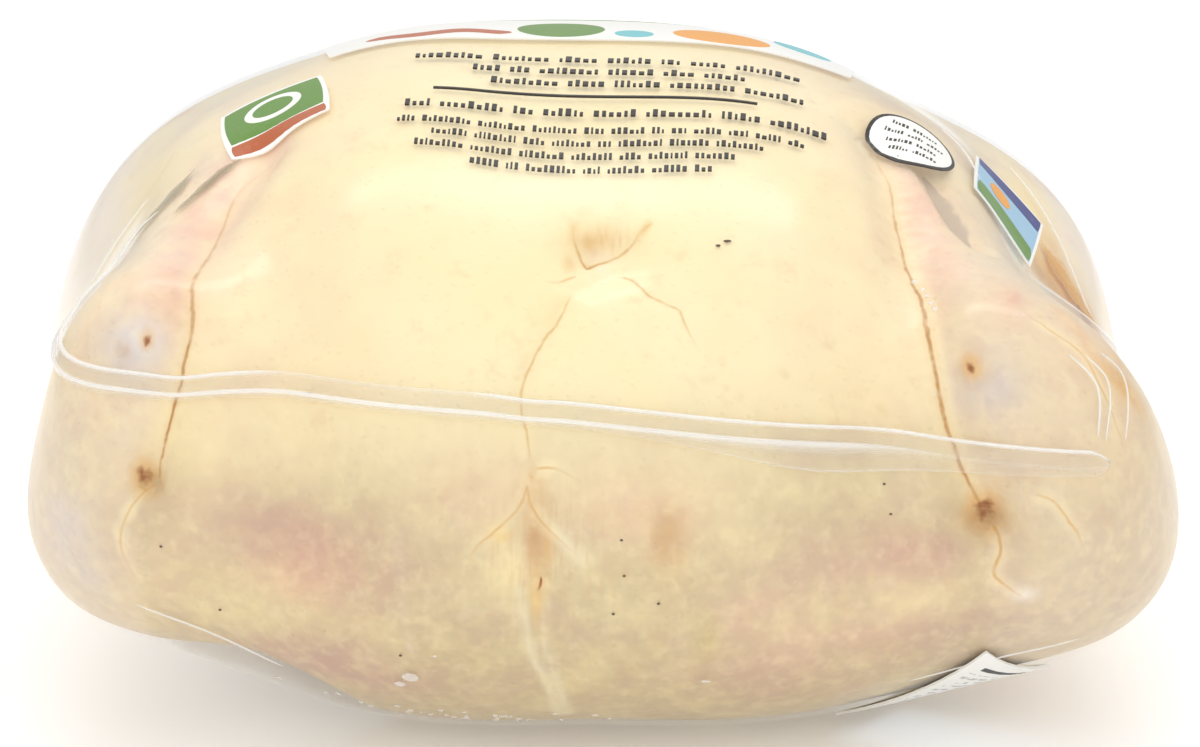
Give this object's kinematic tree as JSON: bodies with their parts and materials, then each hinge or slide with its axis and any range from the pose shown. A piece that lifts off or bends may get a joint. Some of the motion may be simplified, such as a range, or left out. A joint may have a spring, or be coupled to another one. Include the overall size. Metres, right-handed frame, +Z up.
{
  "type": "whole raw chicken in a clear shrink bag",
  "caption": "Whole raw chicken lying breast up in a tight clear shrink bag with a welded seal across the neck end and a paper label underneath.",
  "frame": {"origin": "middle of the base, on the surface that the bird lies on", "axes": "-Y towards the neck end, +Y towards the tail, +Z up through the breast, +X to the right seen from the neck end"},
  "size_m": [0.2288, 0.248, 0.1266],
  "materials": {
    "skin_in_film": "pale yellow raw skin behind clear glossy film",
    "label_paper": "matt white paper"
  },
  "bodies": {
    "root": {"bagged_chicken": "skin_in_film", "underside_label": "label_paper"}
  },
  "joints": []
}
